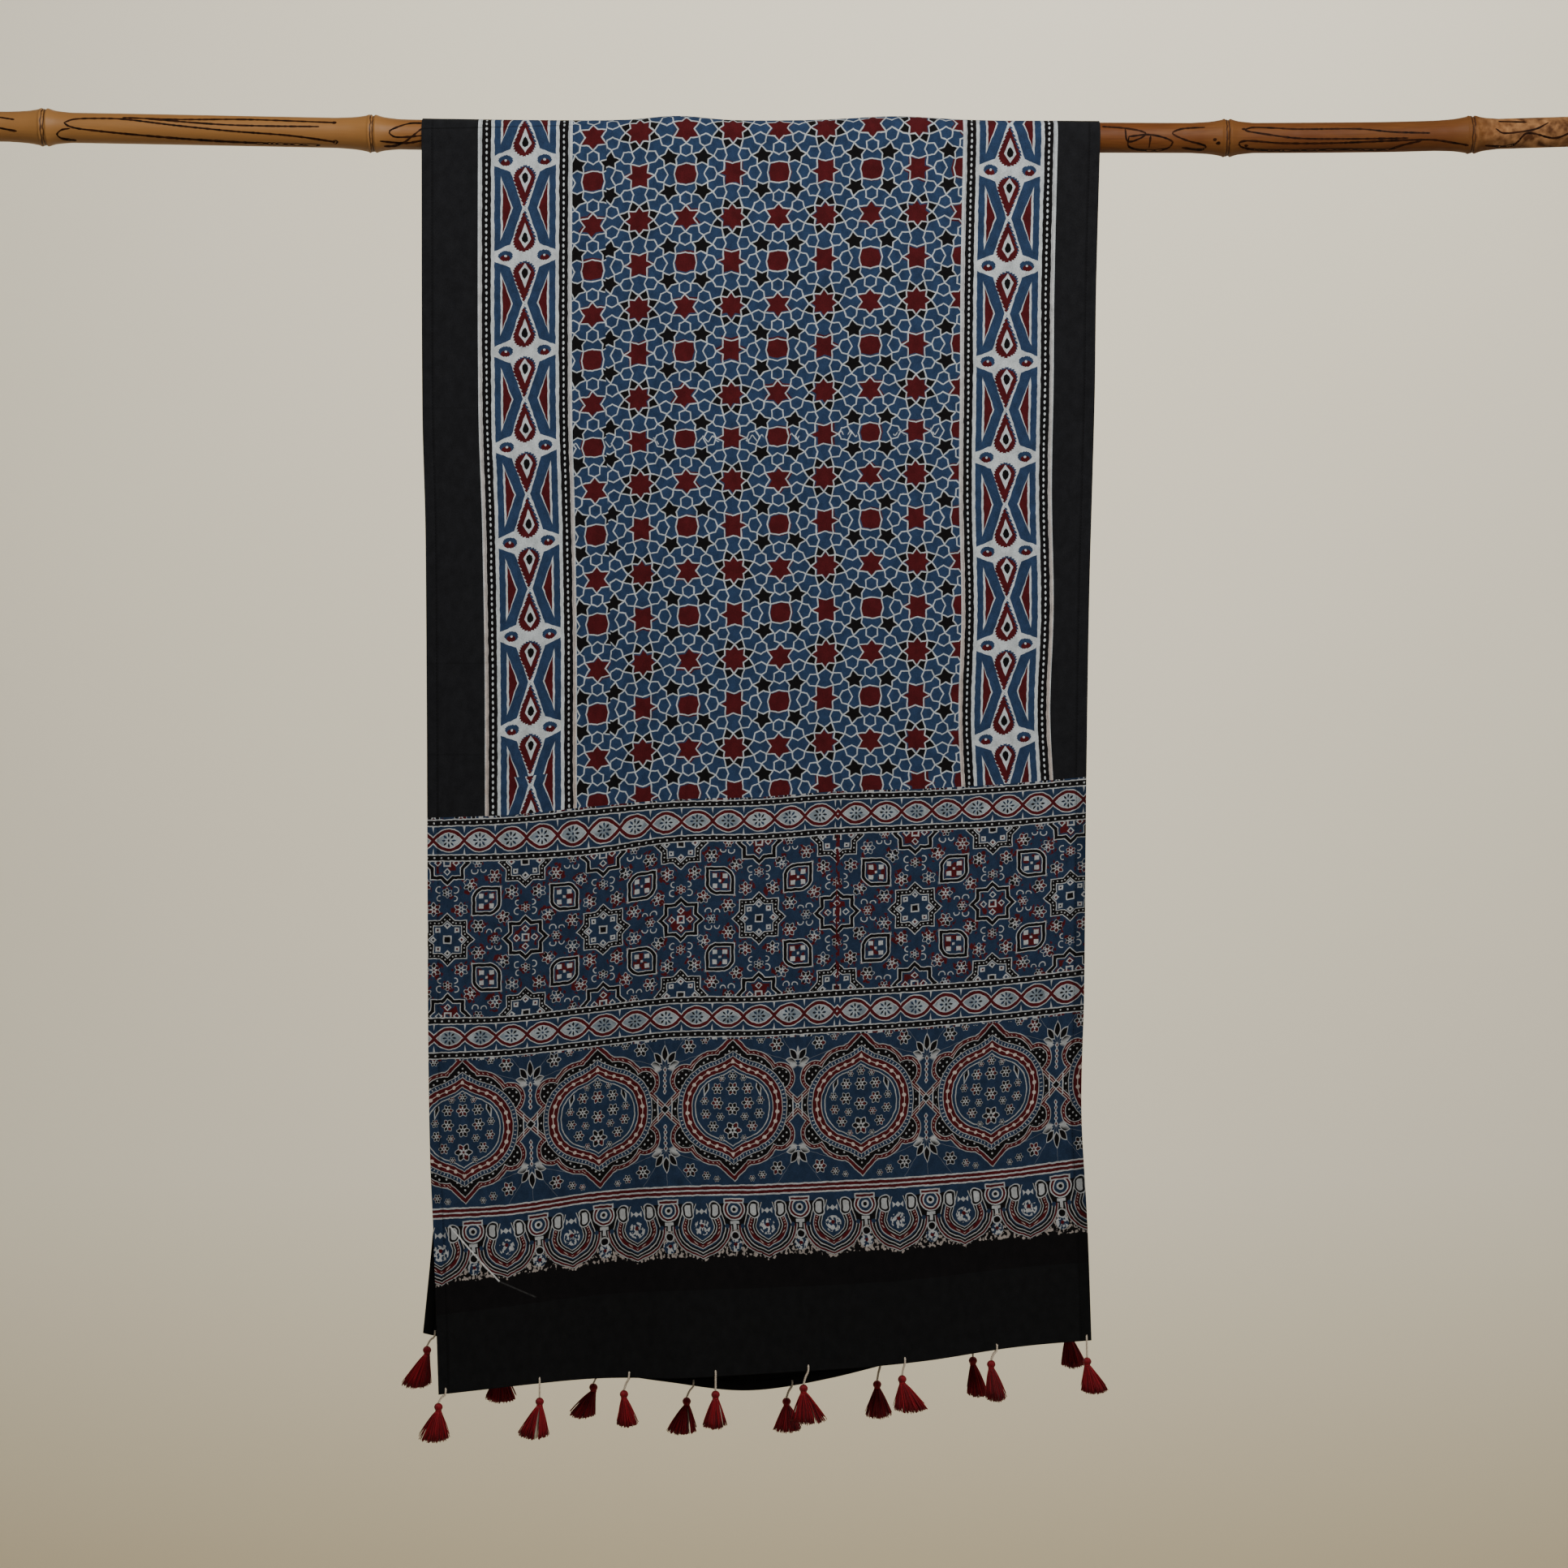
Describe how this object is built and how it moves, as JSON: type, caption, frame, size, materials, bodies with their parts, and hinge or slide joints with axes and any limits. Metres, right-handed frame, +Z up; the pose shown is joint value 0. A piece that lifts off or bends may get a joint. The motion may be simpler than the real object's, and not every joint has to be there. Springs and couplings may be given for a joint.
{
  "type": "ajrakh cloth hung over a bamboo rod",
  "caption": "Block-printed ajrakh stole in indigo, madder red and black, hung over a bamboo rod, with maroon tassels on corded loops along both ends.",
  "frame": {"origin": "on the rod's axis, halfway along the rod", "axes": "+Z up, +X along the rod to the right as seen from the front, -Y out of the front layer of the cloth"},
  "size_m": [1.4, 0.0655, 1.1019],
  "materials": {
    "printed_cotton": "matt block-printed cotton",
    "bamboo": "smoked and varnished bamboo",
    "maroon_thread": "soft twisted thread",
    "cream_cord": "twisted cord"
  },
  "bodies": {
    "root": {"ajrakh_cloth": "printed_cotton", "bamboo_rod": "bamboo", "tassel_front_1": "maroon_thread", "tassel_front_2": "maroon_thread", "tassel_front_3": "maroon_thread", "tassel_front_4": "maroon_thread", "tassel_front_5": "maroon_thread", "tassel_front_6": "maroon_thread", "tassel_front_7": "maroon_thread", "tassel_front_8": "maroon_thread", "tassel_back_1": "maroon_thread", "tassel_back_2": "maroon_thread", "tassel_back_3": "maroon_thread", "tassel_back_4": "maroon_thread", "tassel_back_5": "maroon_thread", "tassel_back_6": "maroon_thread", "tassel_back_7": "maroon_thread", "tassel_back_8": "maroon_thread", "tassel_cord_front_1": "cream_cord", "tassel_cord_front_2": "cream_cord", "tassel_cord_front_3": "cream_cord", "tassel_cord_front_4": "cream_cord", "tassel_cord_front_5": "cream_cord", "tassel_cord_front_6": "cream_cord", "tassel_cord_front_7": "cream_cord", "tassel_cord_front_8": "cream_cord", "tassel_cord_back_1": "cream_cord", "tassel_cord_back_2": "cream_cord", "tassel_cord_back_3": "cream_cord", "tassel_cord_back_4": "cream_cord", "tassel_cord_back_5": "cream_cord", "tassel_cord_back_6": "cream_cord", "tassel_cord_back_7": "cream_cord", "tassel_cord_back_8": "cream_cord"}
  },
  "joints": []
}
